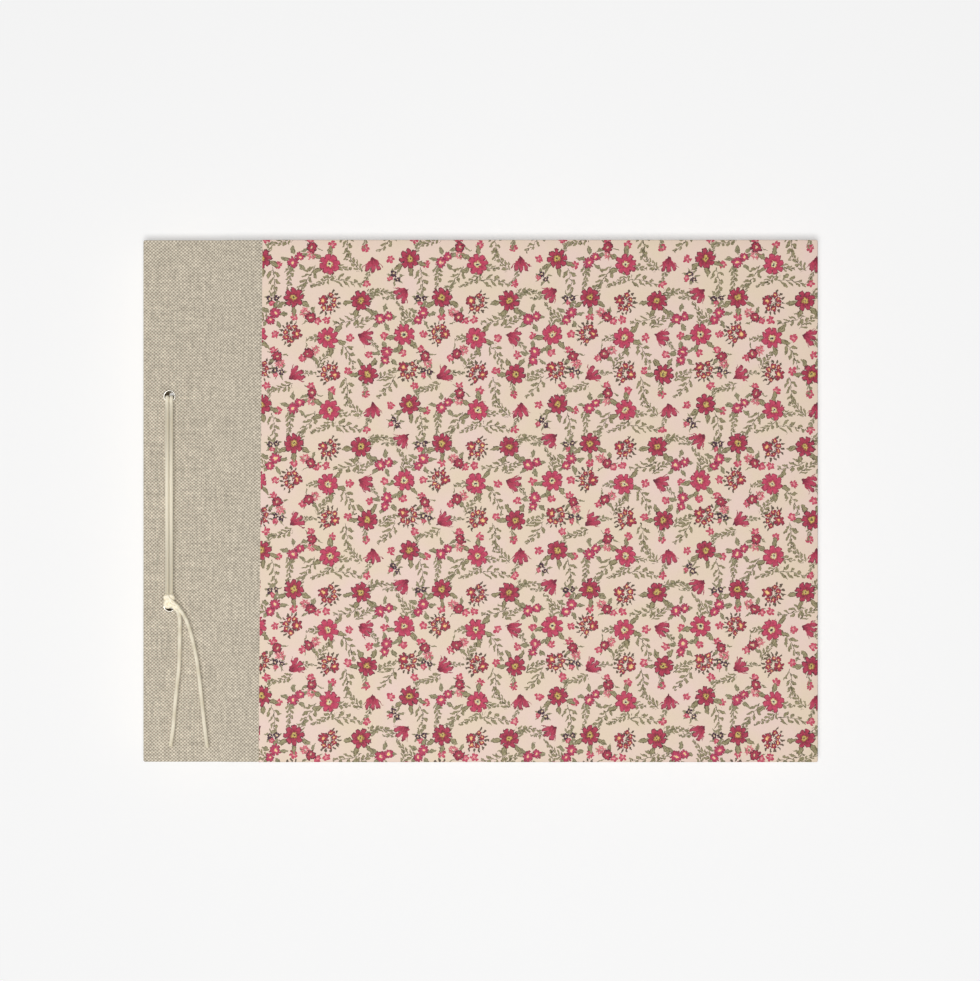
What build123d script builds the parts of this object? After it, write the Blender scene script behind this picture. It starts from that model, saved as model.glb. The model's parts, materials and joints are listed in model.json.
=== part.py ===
from build123d import *
import math
import os

os.makedirs("parts", exist_ok=True)

# A landscape album laced at its left edge. It lies on its back cover: the spine edge is at -X, the head at
# +Y and the front cover on top. The origin is the centre of the back cover's outer face. Millimetres.

# ---------------------------------------------------------------- driving dimensions

# covers
cover_length = 310.0        # spine edge to fore edge
cover_height = 240.0        # head to tail
board_thick = 2.4           # greyboard of the covers and of the spine strips
covering_thick = 0.3        # book cloth and printed paper, pasted on
lining_thick = 0.25         # plain paper inside each cover
spine_board_width = 33.0    # strip of board that is laced to the leaves
joint_gap = 6.0             # cloth hinge between the strip and the cover board
linen_show = 54.0           # linen that shows, from the spine edge
turn_in = 5.0               # covering that shows round the lining
front_strip_drop = 1.2      # the lacing holds the front strip below the cover's face
back_strip_lift = 2.5       # and the back strip clear of the table

# leaves and guards
leaf_count = 20
leaf_thick = 0.4
leaf_margin = 4.0           # the covers overhang the leaves at head, tail and fore edge
guard_thick = 0.35          # strip of card between two stubs
guard_width = 30.0
block_inset = 1.5           # stubs and guards stand back from the spine edge
leaf_clearance = 0.5        # outermost leaf to the cover, at the fore edge
joint_clearance = 0.15      # each side of a hinge line

# eyelets
hole_inset = 12.0           # eyelet centres from the spine edge
hole_spacing = 96.5         # from one eyelet centre to the other
eyelet_bore = 4.3
eyelet_wall = 0.2
rim_diameter = 5.9
rim_height = 0.3
rim_rounding = 0.15
punch_clearance = 0.1       # holes in the leaves, all round the bore

# lacing cord, knot and tails
cord_diameter = 1.85
strand_gap = 0.07           # between two strands that lie side by side
strand_lift = 0.175         # strand over an eyelet's rim
strand_set = 0.45           # strands lie to the inner side of the eyelets
bend_radius = 2.0           # of a strand over an eyelet's rim
knot_left = 2.5             # knot's faces, from the centre of the lower eyelet
knot_right = 4.6
knot_above = 5.3
knot_below = 1.3
knot_height = 4.4           # over the linen
knot_base = 0.4             # over the linen, clear of the rim
knot_crown = 1.2            # rounding of its top
knot_corner = 0.3           # rounding of its upright edges
tail_lift = 0.1             # tails over the linen
arc_share = 0.45            # share of the shorter run that an arc takes

# Routes of the two tails: across and up from the centre of the lower eyelet. They leave the knot's lower
# face at the height of the front strands, and lie on the linen from the third point on.
left_tail_route = [
    (1.45, -1.3), (1.45, -5.2), (3.3, -9.5), (4.8, -17.0), (4.6, -27.5),
    (3.4, -38.0), (2.4, -48.5), (1.8, -57.0), (0.6, -64.3),
]
right_tail_route = [
    (3.35, -1.3), (3.35, -5.1), (6.3, -9.8), (10.4, -16.0), (12.4, -23.2),
    (13.9, -33.2), (14.8, -44.0), (16.1, -54.5), (17.5, -64.8),
]
raised_points = 2           # of each route, before it comes down to the linen

# ---------------------------------------------------------------- worked out from them

cover_thick = board_thick + 2 * covering_thick
lining_depth = covering_thick + board_thick
block_height = leaf_count * leaf_thick + (leaf_count - 1) * guard_thick
block_base = back_strip_lift + cover_thick
album_thick = block_base + block_height + cover_thick + front_strip_drop
strip_top = album_thick - front_strip_drop

spine_x = -cover_length / 2
fore_x = cover_length / 2
strip_end_x = spine_x + spine_board_width
hinge_x = strip_end_x + joint_gap / 2
board_start_x = strip_end_x + joint_gap
linen_end_x = spine_x + linen_show
block_x = spine_x + block_inset
leaf_start_x = hinge_x + joint_clearance
leaf_length = fore_x - leaf_margin - leaf_start_x
leaf_height = cover_height - 2 * leaf_margin
board_height = cover_height - 2 * covering_thick
lining_height = cover_height - 2 * turn_in

hole_x = spine_x + hole_inset
hole_y = hole_spacing / 2
bore_radius = eyelet_bore / 2
barrel_radius = bore_radius + eyelet_wall
rim_radius = rim_diameter / 2
punch_radius = bore_radius + punch_clearance
cord_radius = cord_diameter / 2
strand_offset = (cord_diameter + strand_gap) / 2
front_run_z = strip_top + rim_height + strand_lift + cord_radius
back_run_z = back_strip_lift - rim_height - strand_lift - cord_radius
tail_z = strip_top + tail_lift + cord_radius

# Each cover: height of its outer face, height of its strip's outer face, and the way in to the leaves.
UP, DOWN = 1, -1
covers = {
    "front": (album_thick, strip_top, DOWN),
    "back": (0.0, back_strip_lift, UP),
}


# ---------------------------------------------------------------- helpers

def layer(outer_z, inward, depth_from, depth_to):
    """Lowest and highest z of the layer between two depths below a cover's outer face."""
    ends = (outer_z + inward * depth_from, outer_z + inward * depth_to)
    return min(ends), max(ends)


def slab(x_low, x_high, height, z_low, z_high, mode=Mode.ADD):
    """A flat slab centred on the X axis, added to the part being built or cut from it."""
    with BuildSketch(Plane.XY.offset(z_low)) as outline:
        with Locations(((x_low + x_high) / 2, 0)):
            Rectangle(x_high - x_low, height)
    extrude(outline.sketch, amount=z_high - z_low, mode=mode)


def board_slab(x_low, x_high, outer_z, inward, mode=Mode.ADD):
    """The board's own layer of a cover, head to tail."""
    slab(x_low, x_high, board_height, *layer(outer_z, inward, covering_thick, lining_depth), mode=mode)


def punch(radius):
    """The two lacing holes, through the whole of the part being built."""
    with Locations((hole_x, hole_y, 0), (hole_x, -hole_y, 0)):
        Hole(radius)


def save(part, name):
    """Label a finished piece and write it to its own file."""
    part.label = name
    export_step(part, f"parts/{name}.step")


def tube(route, radii):
    """A round cord along straight runs that are joined by tangent arcs."""
    with BuildPart() as cord:
        with BuildLine():
            path = FilletPolyline(*route, radius=radii)
        with BuildSketch(Plane(origin=path @ 0, z_dir=path % 0)):
            Circle(cord_radius)
        sweep()
    expected = math.pi * cord_radius**2 * path.length
    print(f"  length {path.length:.1f} mm, volume over section x length {cord.part.volume / expected:.4f}")
    return cord.part


# ---------------------------------------------------------------- covers

def make_board(outer_z, inward):
    """Rigid board of one cover, from the cloth joint to the fore edge."""
    with BuildPart() as board:
        board_slab(board_start_x, fore_x - covering_thick, outer_z, inward)
    return board.part


def make_spine_board(outer_z, inward):
    """Strip of the same board over the leaf stubs, punched for the eyelets."""
    with BuildPart() as spine_board:
        board_slab(spine_x + covering_thick, strip_end_x, outer_z, inward)
        punch(barrel_radius)
    return spine_board.part


def make_strip_linen(outer_z, inward):
    """Linen wrapped round the spine strip, with its half of the cloth joint."""
    with BuildPart() as linen:
        slab(spine_x, strip_end_x, cover_height, *layer(outer_z, inward, 0, cover_thick))
        board_slab(spine_x + covering_thick, strip_end_x, outer_z, inward, mode=Mode.SUBTRACT)
        slab(strip_end_x, hinge_x - joint_clearance, cover_height, *layer(outer_z, inward, 0, covering_thick))
        punch(barrel_radius)
    return linen.part


def make_cover_linen(outer_z, inward):
    """Linen on the cover board, turned in at head and tail, with its half of the cloth joint."""
    with BuildPart() as linen:
        slab(board_start_x, linen_end_x, cover_height, *layer(outer_z, inward, 0, cover_thick))
        board_slab(board_start_x, linen_end_x, outer_z, inward, mode=Mode.SUBTRACT)
        slab(
            board_start_x, linen_end_x, lining_height,
            *layer(outer_z, inward, lining_depth, cover_thick), mode=Mode.SUBTRACT,
        )
        slab(leaf_start_x, board_start_x, cover_height, *layer(outer_z, inward, 0, covering_thick))
    return linen.part


def make_cover_paper(outer_z, inward):
    """Printed paper over the rest of the board, turned in at head, tail and fore edge."""
    with BuildPart() as paper:
        slab(linen_end_x, fore_x, cover_height, *layer(outer_z, inward, 0, cover_thick))
        board_slab(linen_end_x, fore_x - covering_thick, outer_z, inward, mode=Mode.SUBTRACT)
        slab(
            linen_end_x, fore_x - turn_in, lining_height,
            *layer(outer_z, inward, lining_depth, cover_thick), mode=Mode.SUBTRACT,
        )
    return paper.part


def make_lining(outer_z, inward):
    """Plain paper pasted inside the cover, between the turn-ins."""
    with BuildPart() as lining:
        slab(
            board_start_x, fore_x - turn_in, lining_height,
            *layer(outer_z, inward, lining_depth, lining_depth + lining_thick),
        )
    return lining.part


def make_eyelets(strip_z, inward):
    """Two eyelets through one spine strip: a barrel, and a rolled rim that stands over the linen."""
    barrel_low, barrel_high = layer(strip_z, inward, 0, cover_thick)
    rim_low, rim_high = layer(strip_z, inward, -rim_height, 0)
    with BuildPart() as eyelets:
        with BuildSketch(Plane.XY.offset(barrel_low)):
            with Locations((hole_x, hole_y), (hole_x, -hole_y)):
                Circle(barrel_radius)
                Circle(bore_radius, mode=Mode.SUBTRACT)
        extrude(amount=barrel_high - barrel_low)
        with BuildSketch(Plane.XY.offset(rim_low)):
            with Locations((hole_x, hole_y), (hole_x, -hole_y)):
                Circle(rim_radius)
                Circle(bore_radius, mode=Mode.SUBTRACT)
        extrude(amount=rim_high - rim_low)
        outer_end = -1 if inward == DOWN else 0
        rim_edges = eyelets.edges().filter_by(GeomType.CIRCLE).group_by(Axis.Z)[outer_end]
        fillet(rim_edges, rim_rounding)
    return eyelets.part


for side, (outer_z, strip_z, inward) in covers.items():
    save(make_board(outer_z, inward), f"{side}_board")
    save(make_spine_board(strip_z, inward), f"{side}_spine_board")
    save(make_strip_linen(strip_z, inward), f"{side}_linen_strip")
    save(make_cover_linen(outer_z, inward), f"{side}_linen_cover")
    save(make_cover_paper(outer_z, inward), f"{side}_cover_paper")
    save(make_lining(outer_z, inward), f"{side}_lining")
    save(make_eyelets(strip_z, inward), f"{side}_eyelets")

# ---------------------------------------------------------------- leaves and guards

stub_pitch = leaf_thick + guard_thick
fore_low_z = cover_thick + leaf_clearance + leaf_thick / 2
fore_high_z = album_thick - fore_low_z
fore_pitch = (fore_high_z - fore_low_z) / (leaf_count - 1)


def stub_base(number):
    """Underside of a leaf's stub, counting from 1 at the front."""
    return block_base + (leaf_count - number) * stub_pitch


def make_leaf(number):
    """The part of a leaf that turns: a card that fans out from its stub to fill the covers' space."""
    hinge_z = stub_base(number) + leaf_thick / 2
    fore_z = fore_high_z - (number - 1) * fore_pitch
    slope = math.atan2(fore_z - hinge_z, leaf_length)
    leaf_plane = Plane(
        origin=(leaf_start_x, 0, hinge_z),
        x_dir=(math.cos(slope), 0, math.sin(slope)),
        z_dir=(-math.sin(slope), 0, math.cos(slope)),
    )
    with BuildPart() as leaf:
        with BuildSketch(leaf_plane):
            Rectangle(leaf_length, leaf_height, align=(Align.MIN, Align.CENTER))
        extrude(amount=leaf_thick / 2, both=True)
    return leaf.part


for number in range(1, leaf_count + 1):
    save(make_leaf(number), f"leaf_{number:02d}")

with BuildPart() as leaf_stubs:
    for number in range(1, leaf_count + 1):
        base = stub_base(number)
        slab(block_x, hinge_x - joint_clearance, leaf_height, base, base + leaf_thick)
    punch(punch_radius)
save(leaf_stubs.part, "leaf_stubs")

with BuildPart() as guard_strips:
    for number in range(2, leaf_count + 1):
        base = stub_base(number) + leaf_thick
        slab(block_x, block_x + guard_width, leaf_height, base, base + guard_thick)
    punch(punch_radius)
save(guard_strips.part, "guard_strips")

# ---------------------------------------------------------------- knot and lacing

with BuildPart() as knot:
    with BuildSketch(Plane.XY.offset(strip_top + knot_base)):
        with Locations((hole_x - knot_left, -hole_y - knot_below)):
            Rectangle(knot_left + knot_right, knot_above + knot_below, align=Align.MIN)
    extrude(amount=knot_height - knot_base)
    fillet(knot.edges().filter_by(Axis.Z), knot_corner)
    fillet(knot.faces().sort_by(Axis.Z)[-1].edges(), knot_crown)
save(knot.part, "lacing_knot")


def lacing_turn(strand_x):
    """One turn of the cord: from the knot along the front, down the upper eyelets, back under the spine
    strip and up the lower eyelets into the knot."""
    upper_y = hole_y - strand_set
    route = [
        (strand_x, -hole_y + knot_above, front_run_z),
        (strand_x, upper_y, front_run_z),
        (strand_x, upper_y, back_run_z),
        (strand_x, -upper_y, back_run_z),
        (strand_x, -upper_y, strip_top + knot_base),
    ]
    return tube(route, bend_radius)


print("lacing turns")
save(lacing_turn(hole_x - strand_offset), "lacing_turn_left")
save(lacing_turn(hole_x + strand_offset), "lacing_turn_right")


def tail(route):
    """One free end of the cord, lying on the linen."""
    points = [
        Vector(hole_x + across, -hole_y + up, front_run_z if index < raised_points else tail_z)
        for index, (across, up) in enumerate(route)
    ]
    runs = [end - start for start, end in zip(points, points[1:])]
    radii = []
    for before, after in zip(runs, runs[1:]):
        half_turn = math.radians(before.get_angle(after) / 2)
        radii.append(arc_share * min(before.length, after.length) / math.tan(half_turn))
    print("  radii", [round(radius, 1) for radius in radii])
    return tube(points, radii)


print("tails")
save(tail(left_tail_route), "cord_tail_left")
save(tail(right_tail_route), "cord_tail_right")
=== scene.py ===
"""Looks of the laced scrapbook album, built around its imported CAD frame."""

import functools
import json
import math
import random

import bmesh
import bpy
from bpy.props import FloatProperty, FloatVectorProperty, IntProperty, PointerProperty
from mathutils import Matrix, Vector


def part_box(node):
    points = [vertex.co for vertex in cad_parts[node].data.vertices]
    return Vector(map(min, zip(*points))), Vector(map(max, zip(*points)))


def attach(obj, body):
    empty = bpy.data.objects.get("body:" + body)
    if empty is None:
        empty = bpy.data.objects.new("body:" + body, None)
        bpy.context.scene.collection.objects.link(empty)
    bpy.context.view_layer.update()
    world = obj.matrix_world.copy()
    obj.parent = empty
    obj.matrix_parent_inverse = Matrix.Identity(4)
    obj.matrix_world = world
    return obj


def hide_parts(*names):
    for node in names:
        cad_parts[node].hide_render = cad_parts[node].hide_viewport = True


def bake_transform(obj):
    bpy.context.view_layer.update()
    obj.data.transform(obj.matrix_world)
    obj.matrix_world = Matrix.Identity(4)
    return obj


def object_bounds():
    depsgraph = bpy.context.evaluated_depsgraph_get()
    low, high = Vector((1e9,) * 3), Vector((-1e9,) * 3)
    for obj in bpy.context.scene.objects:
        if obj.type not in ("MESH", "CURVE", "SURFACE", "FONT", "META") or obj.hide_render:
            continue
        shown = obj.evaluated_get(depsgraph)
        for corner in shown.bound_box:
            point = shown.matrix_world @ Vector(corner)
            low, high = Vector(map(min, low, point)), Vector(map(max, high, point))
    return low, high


bl_info = {
    "name": "Laced Scrapbook Album",
    "version": (1, 0, 0),
    "blender": (4, 5, 0),
    "location": "3D View > Sidebar > Album",
    "description": "Linen, printed paper, leaves, eyelets and cord of a landscape laced album",
    "category": "Object",
}

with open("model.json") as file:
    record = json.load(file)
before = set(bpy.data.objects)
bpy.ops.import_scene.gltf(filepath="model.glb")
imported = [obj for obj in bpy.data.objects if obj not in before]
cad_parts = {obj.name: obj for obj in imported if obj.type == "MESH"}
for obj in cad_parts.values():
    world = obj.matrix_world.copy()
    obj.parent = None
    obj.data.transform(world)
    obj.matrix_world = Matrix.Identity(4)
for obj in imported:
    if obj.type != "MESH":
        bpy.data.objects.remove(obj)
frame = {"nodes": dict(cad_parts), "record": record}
cad_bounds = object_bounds()

MM = 0.001
SIDES = {"front": -1, "back": 1}  # each cover, and its way in to the leaves along Z
LEAF_NAMES = sorted(name for name in frame["nodes"] if name.startswith("leaf_") and name[5:].isdigit())


# ---------------------------------------------------------------- settings


def linear(hex_colour):
    """A colour written as sRGB hex, as the linear values that shaders take."""
    values = [int(hex_colour[place : place + 2], 16) / 255 for place in (1, 3, 5)]
    return [v / 12.92 if v <= 0.04045 else ((v + 0.055) / 1.055) ** 2.4 for v in values]


def colour_setting(name, description, hex_colour):
    return FloatVectorProperty(
        name=name, description=description, subtype="COLOR", min=0, max=1, default=linear(hex_colour)
    )


def length_setting(name, description, millimetres):
    return FloatProperty(
        name=name, description=description, subtype="DISTANCE", unit="LENGTH", min=0,
        precision=5, default=millimetres * MM,
    )


def count_setting(name, description, count):
    return IntProperty(name=name, description=description, min=4, max=64, default=count)


def light_setting(name, description, strength, subtype="NONE"):
    return FloatProperty(name=name, description=description, subtype=subtype, min=0, default=strength)


class AlbumCovers(bpy.types.PropertyGroup):
    """Sizes and colours of the covers"""

    edge_round: length_setting("Edge rounding", "Radius of the covering over the board's edges", 0.55)
    corner_round: length_setting("Corner rounding", "Radius of the covers' corners, seen from above", 0.8)
    covering: length_setting("Covering", "Thickness of the linen and of the printed paper", 0.3)
    turn_in: length_setting("Turn-in", "Covering that shows round the lining", 5.0)
    paper_lap: length_setting("Paper step", "Height of the paper's edge over the linen under it", 0.1)
    under_paper: length_setting("Linen under paper", "Linen that the paper laps", 3.0)
    askew: length_setting("Askew", "How far the paper's edge leans at the head", 0.9)
    joint_cuts: count_setting("Joint cuts", "Folds that the cloth joint bends in", 12)
    warp_pitch: length_setting("Warp pitch", "From one upright linen thread to the next", 0.84)
    weft_pitch: length_setting("Weft pitch", "From one level linen thread to the next", 0.75)
    linen: colour_setting("Linen", "Unbleached linen thread", "#BDB2A0")
    ground: colour_setting("Print ground", "Cream of the printed paper", "#E4D0B8")
    blush: colour_setting("Print blush", "Pink cast in the printed paper's ground", "#E8CEC2")
    lining: colour_setting("Lining", "Plain lining paper", "#EDE3CF")
    board: colour_setting("Board", "Bare greyboard", "#9B9284")


class AlbumFilling(bpy.types.PropertyGroup):
    """Colours of the leaves and guards, and the leaves' bend"""

    card: colour_setting("Leaf card", "Uncoated cream card", "#F0E6D2")
    guard: colour_setting("Guards", "Card strips between the stubs", "#D9C6A2")
    leaf_thick: length_setting("Leaf thickness", "Thickness of the card", 0.4)
    leaf_corner: length_setting("Leaf corners", "Rounding of the leaves' corners", 0.6)
    turned_bend: length_setting("Turned bend", "Run of card that bends in a leaf that turns over", 24.0)
    resting_bend: length_setting("Resting bend", "Run of card that bends in a leaf that only lifts", 9.0)


class AlbumLacing(bpy.types.PropertyGroup):
    """Sizes and colours of the cord and eyelets"""

    cord: colour_setting("Cord", "Unbleached cotton", "#FAEED2")
    metal: colour_setting("Eyelets", "Pale nickel plate", "#B9B4AA")
    diameter: length_setting("Cord diameter", "Diameter of the cotton cord", 1.85)
    bore: length_setting("Eyelet bore", "Inside diameter of an eyelet", 4.3)
    eyelet_wall: length_setting("Eyelet wall", "Thickness of an eyelet's barrel", 0.2)
    braid_repeat: length_setting("Braid repeat", "From one crossing of the braid to the next", 1.9)
    facets: count_setting("Facets", "Sides of the cord's section", 16)


class AlbumStage(bpy.types.PropertyGroup):
    """Floor, light and camera"""

    floor: colour_setting("Floor", "Light that the table gives back", "#CBCBCB")
    glow: light_setting("Glow", "Light that the table gives of its own", 0.457)
    picture: length_setting("Picture height", "Height of the view at the front cover", 450.6)
    distance: length_setting("Camera distance", "From the front cover to the camera", 1500.0)
    aim_across: length_setting("Aim across", "Camera to the right of the album's centre", 4.36)
    aim_up: length_setting("Aim up", "Camera towards the head from the album's centre", 4.82)
    fill: light_setting("Fill", "Light from all round", 0.17)
    overhead: light_setting("Overhead", "Lamp above the album", 18.2, "POWER")
    key: light_setting("Key", "Lamp from the spine's side", 8.2, "POWER")


# ---------------------------------------------------------------- node and mesh helpers


def feed(tree, made, inputs):
    """Set a node's inputs, each to a value, a socket, or a node's first output in use. None leaves it."""
    for place, value in inputs.items():
        if isinstance(value, bpy.types.Node):
            value = next(output for output in value.outputs if output.enabled)
        if isinstance(value, bpy.types.NodeSocket):
            tree.links.new(value, made.inputs[place])
        elif value is not None:
            made.inputs[place].default_value = value


def add(tree, kind, *inputs, stops=(), named=None, **settings):
    """Add a node with its settings and links. kind may end in .OPERATION; inputs are in the node's own
    order and named ones by name; stops are a colour ramp's positions and hex colours."""
    kind, _, operation = kind.partition(".")
    made = tree.nodes.new("ShaderNode" + kind)
    if operation:
        made.operation = operation
    for name, value in settings.items():
        setattr(made, name, value)
    feed(tree, made, dict(enumerate(inputs)) | (named or {}))
    for number, (position, hex_colour) in enumerate(stops):
        elements = made.color_ramp.elements
        stop = elements[number] if number < 2 else elements.new(position)
        stop.position = position
        stop.color = (*linear(hex_colour), 1)
    return made


def new_material(name):
    """A material with its node tree, its shader and the piece's own coordinates in millimetres."""
    material = bpy.data.materials.new(name)
    material.use_nodes = True
    tree = material.node_tree
    shader = next(n for n in tree.nodes if n.type == "BSDF_PRINCIPLED")
    place = tree.nodes.new("ShaderNodeTexCoord").outputs["Object"]
    point = add(tree, "VectorMath.MULTIPLY", place, (1 / MM,) * 3)
    return material, tree, shader, point


# ---------------------------------------------------------------- the print

TILE = (68.0, 67.0)  # the print's repeat, mm
LAYOUT_SEED = 11
PLACES_TRIED = 600  # for each motif

# Motifs of one repeat: how many, the radius that each is drawn within, and the radius of ground that it
# keeps to itself, mm. No two of a kind overlap.
MOTIFS = {
    "rose": (3, 10.0, 5.4),
    "anemone": (4, 9.5, 5.2),
    "fan": (4, 9.0, 5.0),
    "cluster": (4, 7.5, 4.8),
    "pair": (4, 7.0, 4.4),
    "spray": (7, 7.0, 4.2),
    "button": (4, 6.5, 3.8),
    "sprig": (9, 7.0, 3.6),
    "violet": (3, 4.6, 3.0),
    "blossom": (14, 2.4, 2.0),
}


def lay_out_print():
    """Spread the motifs over one repeat, the largest first, each at the freest of many places tried."""
    draw = random.Random(LAYOUT_SEED)
    laid = []
    for kind, (count, drawn, ground) in MOTIFS.items():
        for _ in range(count):
            best = (-math.inf, 0, 0)
            for _ in range(PLACES_TRIED):
                x = draw.uniform(0, TILE[0])
                y = draw.uniform(0, TILE[1])
                room = math.inf
                for other, other_x, other_y, _, other_ground in laid:
                    apart = math.hypot(
                        (x - other_x + TILE[0] / 2) % TILE[0] - TILE[0] / 2,
                        (y - other_y + TILE[1] / 2) % TILE[1] - TILE[1] / 2,
                    )
                    room = min(room, apart - ground - other_ground)
                    if other == kind and apart < 2 * drawn:
                        room = -math.inf
                best = max(best, (room, x, y))
            if best[0] == -math.inf:
                raise RuntimeError(f"no room in the print for one more {kind}")
            # A turn is never nought, because nought marks the bare ground.
            laid.append((kind, best[1], best[2], draw.uniform(0.2, math.tau), ground))
    return {kind: [(x, y, turn) for other, x, y, turn, _ in laid if other == kind] for kind in MOTIFS}


PLACES = lay_out_print()


class PrintArtist:
    """Draws the small floral on a material's node tree, motif over motif."""

    def __init__(self, tree, point, ground):
        self.add = functools.partial(add, tree)
        # A drawn line wanders, by up to a third of a millimetre.
        wobble = self.add("TexNoise", point, None, 0.55, 2.0, 0.55).outputs["Color"]
        wobble = self.add("VectorMath.MULTIPLY", wobble, (2.6, 2.6, 0))
        self.flat = self.add("VectorMath.MULTIPLY", self.add("VectorMath.ADD", point, wobble), (1, 1, 0))
        self.colour = ground

    def motif(self, kind):
        """x and y from the middle of the motif of this kind that is here, and 1 where there is one."""
        half = (TILE[0] / 2, TILE[1] / 2, 1)
        local = None
        for x, y, turn in PLACES[kind]:
            # The turn goes along as a very small height, so that one vector holds all.
            away = self.add("VectorMath.SUBTRACT", self.flat, (x, y, -turn * MM))
            away = self.add("VectorMath.WRAP", away, half, [-h for h in half])
            near = self.add("Math.LESS_THAN", self.add("VectorMath.LENGTH", away), MOTIFS[kind][1])
            # A scale keeps to one kind of socket, so the renderer works the places out one at a time.
            away = self.add("VectorMath.SCALE", away, named={"Scale": near})
            local = self.add("VectorMath.ADD", away, local or (0, 0, 0))
        turn = self.add("Math.MULTIPLY", self.add("SeparateXYZ", local).outputs[2], 1 / MM)
        turned = self.add("VectorRotate", local, named={"Angle": turn}, rotation_type="Z_AXIS")
        parts = self.add("SeparateXYZ", turned)
        return parts.outputs[0], parts.outputs[1], self.add("Math.GREATER_THAN", turn, 0.01)

    def polar(self, local):
        """Distance and angle from the motif's middle."""
        x, y, _ = local
        square = self.add("Math.MULTIPLY_ADD", x, x, self.add("Math.MULTIPLY", y, y))
        return self.add("Math.SQRT", square), self.add("Math.ARCTAN2", y, x)

    def shifted(self, local, right, up):
        """The same motif about a middle that is moved right and up."""
        return self.add("Math.SUBTRACT", local[0], right), self.add("Math.SUBTRACT", local[1], up), local[2]

    def ring(self, local, count, radius):
        """The same motif repeated round a ring."""
        distance, angle = self.polar(local)
        step = self.add("Math.WRAP", angle, math.pi / count, -math.pi / count)
        return self.add("Math.MULTIPLY", step, radius), self.add("Math.SUBTRACT", distance, radius), local[2]

    def paint(self, inside, *masks_and_colour):
        """Lay a colour over what is drawn so far, where inside and all the masks are 1."""
        *masks, colour = masks_and_colour
        for mask in masks:
            inside = self.add("Math.MULTIPLY", inside, mask)
        self.colour = self.add("MixRGB", inside, self.colour, colour)

    def flower(self, local, radius, petals, notch, stops, *masks):
        """A flower seen from the front: rounded, lined petals, coloured from its middle to its rim."""
        distance, angle = self.polar(local)
        lobe = self.add("Math.COSINE", self.add("Math.MULTIPLY", angle, petals / 2))
        gap = self.add("Math.SUBTRACT", 1, self.add("Math.ABSOLUTE", lobe))
        gap = self.add("Math.POWER", gap, 2.2)
        rim = self.add("Math.MULTIPLY_ADD", gap, -notch * radius, radius)
        share = self.add("Math.DIVIDE", distance, rim)
        lined = self.add("Math.MULTIPLY_ADD", gap, self.add("Math.MULTIPLY", share, 0.35), share)
        streak = self.add("Math.SINE", self.add("Math.MULTIPLY", angle, petals * 5))
        lined = self.add("Math.MULTIPLY_ADD", streak, 0.035, lined)
        colour = self.add("ValToRGB", lined, stops=stops)
        self.paint(self.add("Math.LESS_THAN", share, 1), local[2], *masks, colour)

    def leaves(self, local, count, start, end, width, stops, *masks):
        """Pointed leaves that stand round a middle, with a darker rib and rim."""
        distance, angle = self.polar(local)
        turn = self.add("Math.WRAP", angle, math.pi / count, -math.pi / count)
        across = self.add("Math.MULTIPLY", distance, self.add("Math.SINE", turn))
        share = self.add("Math.DIVIDE", self.add("Math.SUBTRACT", distance, start), end - start)
        share = self.add("Math.MINIMUM", self.add("Math.MAXIMUM", share, 0), 1)
        bulge = self.add("Math.SINE", self.add("Math.MULTIPLY", share, math.pi))
        bulge = self.add("Math.MULTIPLY_ADD", bulge, width, 1e-4)
        edge = self.add("Math.DIVIDE", self.add("Math.ABSOLUTE", across), bulge)
        colour = self.add("ValToRGB", edge, stops=stops)
        self.paint(self.add("Math.LESS_THAN", edge, 1), local[2], *masks, colour)

    def sprig(self, local, length, spread, step, bend, stops, stem, fullness=0.36):
        """A curved stem with slanting leaflets that shorten to its tip, as wide as fullness of their step."""
        x, y, here = local
        y = self.add("Math.MULTIPLY_ADD", self.add("Math.MULTIPLY", x, x), bend, y)
        side = self.add("Math.ABSOLUTE", y)
        along = self.add("Math.MULTIPLY_ADD", side, -0.9, x)
        shifted = self.add("Math.MULTIPLY_ADD", self.add("Math.SIGN", y), step / 4, along)
        share = self.add("Math.DIVIDE", x, length)
        out = self.add("Math.DIVIDE", side, self.add("Math.MULTIPLY_ADD", share, -0.75 * spread, spread))
        bulge = self.add("Math.SINE", self.add("Math.MULTIPLY", self.add("Math.MINIMUM", out, 1), math.pi))
        bulge = self.add("Math.MULTIPLY_ADD", bulge, fullness * step, 1e-4)
        stripe = self.add("Math.ABSOLUTE", self.add("Math.WRAP", shifted, step / 2, -step / 2))
        edge = self.add("Math.DIVIDE", stripe, bulge)
        run = self.add("Math.MULTIPLY", self.add("Math.GREATER_THAN", along, 0), here)
        run = self.add("Math.MULTIPLY", self.add("Math.LESS_THAN", share, 1), run)
        self.paint(self.add("Math.LESS_THAN", edge, 1), run, self.add("ValToRGB", edge, stops=stops))
        self.paint(self.add("Math.LESS_THAN", side, 0.16), run, (*linear(stem), 1))


OLIVE = ((0.0, "#564C30"), (1.0, "#443C26"), (0.2, "#B0A680"), (0.62, "#8A7E56"))
BROWN = ((0.0, "#6B5A44"), (1.0, "#3C2E28"), (0.5, "#6A5846"))
SAGE = ((0.0, "#665F3E"), (1.0, "#4E472E"), (0.3, "#AEA682"), (0.68, "#857B58"))
ROSE = (
    (0.0, "#1E1218"), (1.0, "#8A203C"), (0.1, "#2A161A"), (0.15, "#F0E6C4"), (0.27, "#D9C27A"),
    (0.34, "#9E2C48"), (0.5, "#C4385A"), (0.85, "#CE4A68"),
)
ANEMONE = (
    (0.0, "#3A2418"), (1.0, "#4E1626"), (0.08, "#3A2418"), (0.15, "#E6CC7C"), (0.28, "#B8923F"),
    (0.36, "#7E1C34"), (0.6, "#B0304C"), (0.85, "#BC3C58"),
)
FAN = ((0.0, "#4A1A2A"), (1.0, "#80203A"), (0.25, "#86203A"), (0.55, "#BA3452"), (0.85, "#C44A64"))
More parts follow.
